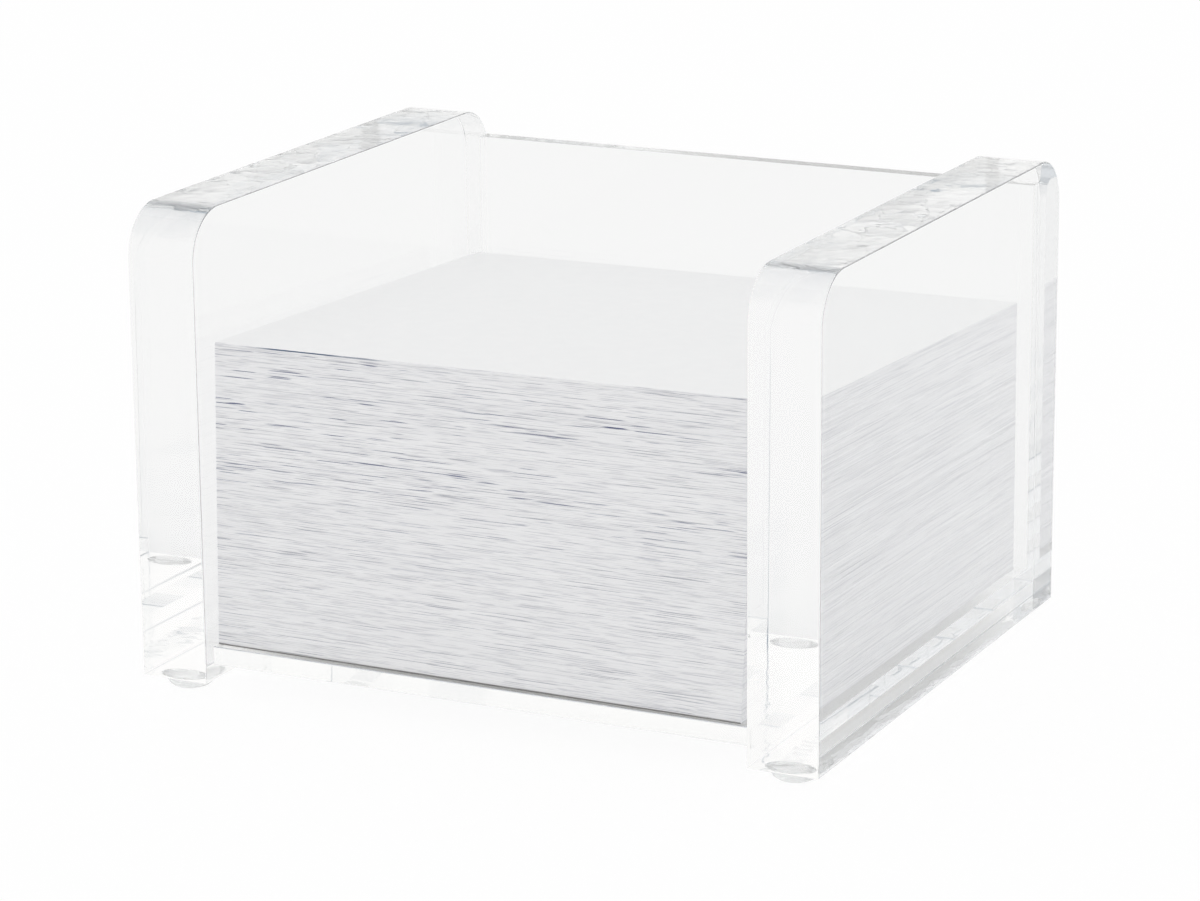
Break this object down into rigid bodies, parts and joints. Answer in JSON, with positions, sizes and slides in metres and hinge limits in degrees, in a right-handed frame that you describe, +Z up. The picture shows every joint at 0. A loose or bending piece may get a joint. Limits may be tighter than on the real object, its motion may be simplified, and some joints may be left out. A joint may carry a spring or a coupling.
{
  "type": "memo sheet holder",
  "caption": "Open-fronted clear holder of thick bonded plates on dome feet, filled with a block of loose white note sheets that lifts out.",
  "frame": {"origin": "on the surface the feet stand on, under the middle of the holder's outline", "axes": "+X to the right along the gap between the side plates, +Y to the back plate, +Z up; the front, at -Y, is open"},
  "size_m": [0.1156, 0.0974, 0.0772],
  "materials": {
    "clear_acrylic": "clear cast acrylic, faces and edges polished",
    "clear_bumper": "clear soft polyurethane, glossy",
    "white_paper": "uncoated white office paper"
  },
  "bodies": {
    "holder": {"side_plate_left": "clear_acrylic", "side_plate_right": "clear_acrylic", "back_plate": "clear_acrylic", "base_plate": "clear_acrylic", "foot_front_left": "clear_bumper", "foot_front_right": "clear_bumper", "foot_rear_left": "clear_bumper", "foot_rear_right": "clear_bumper"},
    "sheet_block": {"sheet_bundle_01": "white_paper", "sheet_bundle_02": "white_paper", "sheet_bundle_03": "white_paper", "sheet_bundle_04": "white_paper", "sheet_bundle_05": "white_paper", "sheet_bundle_06": "white_paper", "sheet_bundle_07": "white_paper", "sheet_bundle_08": "white_paper", "sheet_bundle_09": "white_paper", "sheet_bundle_10": "white_paper", "sheet_bundle_11": "white_paper", "sheet_bundle_12": "white_paper", "sheet_bundle_13": "white_paper", "sheet_bundle_14": "white_paper", "sheet_bundle_15": "white_paper", "sheet_bundle_16": "white_paper", "sheet_bundle_17": "white_paper", "sheet_bundle_18": "white_paper", "sheet_bundle_19": "white_paper", "sheet_bundle_20": "white_paper", "sheet_bundle_21": "white_paper", "sheet_bundle_22": "white_paper", "sheet_bundle_23": "white_paper", "sheet_bundle_24": "white_paper", "sheet_bundle_25": "white_paper"},
    "top_sheet": {"top_sheet": "white_paper"}
  },
  "joints": [
    {"name": "block_lift", "type": "slide", "parent": "holder", "child": "sheet_block", "axis": [0, 0, 1], "range_m": [0, 0.08]},
    {"name": "top_sheet_draw", "type": "slide", "parent": "sheet_block", "child": "top_sheet", "axis": [0, -0.9987, 0.0509], "range_m": [0, 0.1]}
  ]
}
